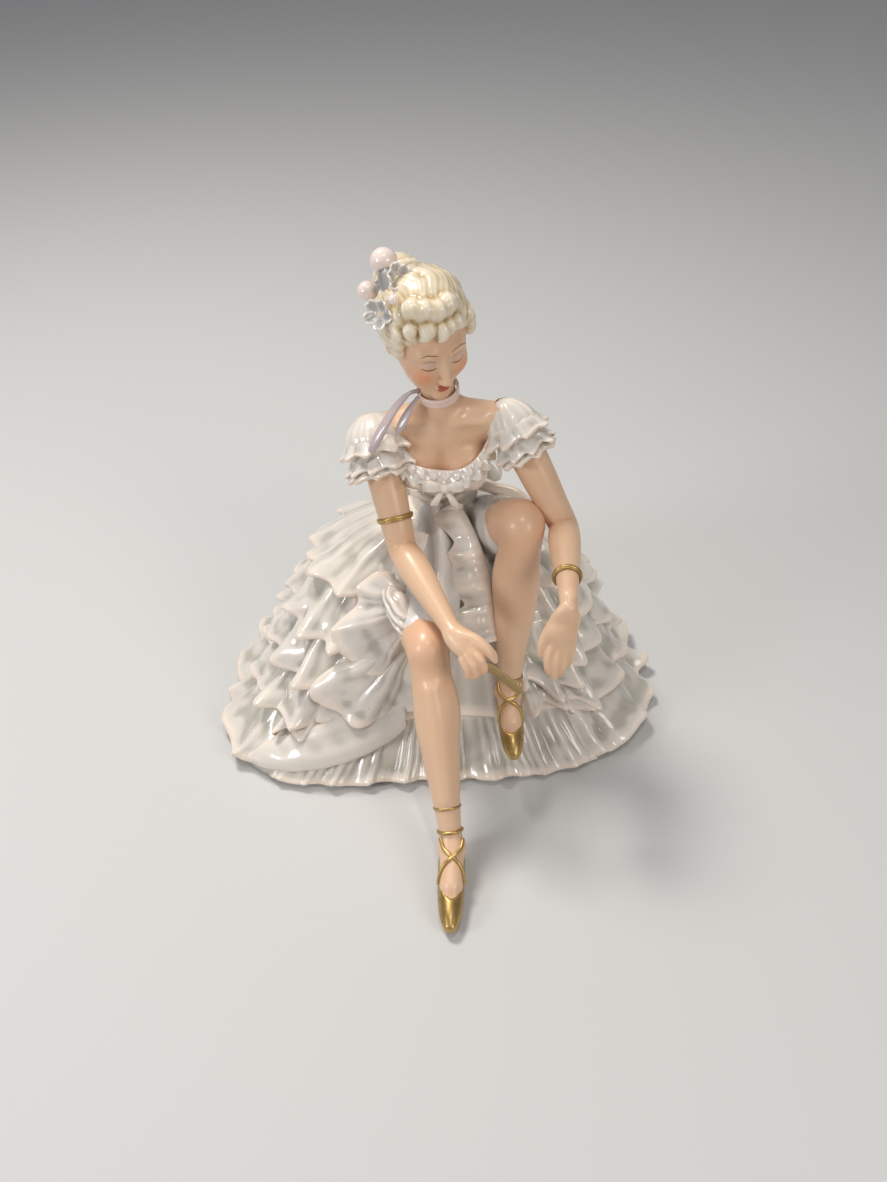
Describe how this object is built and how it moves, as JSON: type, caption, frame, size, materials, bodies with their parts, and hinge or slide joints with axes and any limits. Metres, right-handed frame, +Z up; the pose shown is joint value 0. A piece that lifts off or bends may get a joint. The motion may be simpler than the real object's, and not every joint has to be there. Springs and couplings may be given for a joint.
{
  "type": "porcelain figurine",
  "caption": "Seated porcelain dancer in a tiered ruffled skirt, bent over a raised foot to tie her gold shoe ribbon",
  "frame": {"origin": "on the resting plane, at the middle of the skirt's footprint", "axes": "+Z up, -Y is the front that the extended foot points to, +X is the figure's left"},
  "size_m": [0.2041, 0.2025, 0.2077],
  "materials": {
    "white_glaze": "gloss",
    "grey_glaze": "gloss",
    "skin_glaze": "satin",
    "hair_glaze": "satin",
    "gold_lustre": "metallic lustre",
    "lilac_glaze": "gloss",
    "pink_glaze": "gloss",
    "peach_glaze": "gloss",
    "bare_porcelain": "matt"
  },
  "bodies": {
    "root": {"skirt_core": "white_glaze", "base_plate": "bare_porcelain", "tier_1": "white_glaze", "tier_2": "white_glaze", "tier_3": "white_glaze", "tier_4": "white_glaze", "tier_5": "white_glaze", "petticoat": "white_glaze", "flounce": "white_glaze", "overskirt_lap": "grey_glaze", "overskirt_thigh": "white_glaze", "drape_flap": "white_glaze", "drape_knot": "white_glaze", "cascade": "white_glaze", "side_ruffle_upper": "white_glaze", "side_ruffle_lower": "white_glaze", "train_fold": "peach_glaze", "pocket_ruffles": "white_glaze", "bodice": "white_glaze", "bust": "skin_glaze", "neckline_ruffle": "white_glaze", "bodice_bow": "white_glaze", "sleeve_right": "white_glaze", "sleeve_left": "white_glaze", "sleeve_frill_right": "white_glaze", "sleeve_frill_left": "white_glaze", "cuff_frill_right": "white_glaze", "cuff_frill_left": "white_glaze", "head": "skin_glaze", "hair_cap": "hair_glaze", "hair_roll": "hair_glaze", "fringe": "hair_glaze", "temple_curls_right": "hair_glaze", "temple_curls_left": "hair_glaze", "chignon": "hair_glaze", "hair_ball_large": "white_glaze", "hair_ball_small": "white_glaze", "hair_pearl": "white_glaze", "hair_stem": "grey_glaze", "hair_petals": "grey_glaze", "choker": "pink_glaze", "neck_ribbon": "lilac_glaze", "neck_ribbon_short": "lilac_glaze", "sash_tail": "peach_glaze", "back_bow": "grey_glaze", "arm_right": "skin_glaze", "arm_left": "skin_glaze", "leg_right": "skin_glaze", "leg_left": "skin_glaze", "shoe_right": "gold_lustre", "shoe_left": "gold_lustre", "ankle_band_right": "gold_lustre", "ankle_ribbon_right": "gold_lustre", "ankle_ribbon_left": "gold_lustre", "shoe_ribbon": "gold_lustre", "armband": "gold_lustre", "bracelet": "gold_lustre"}
  },
  "joints": []
}
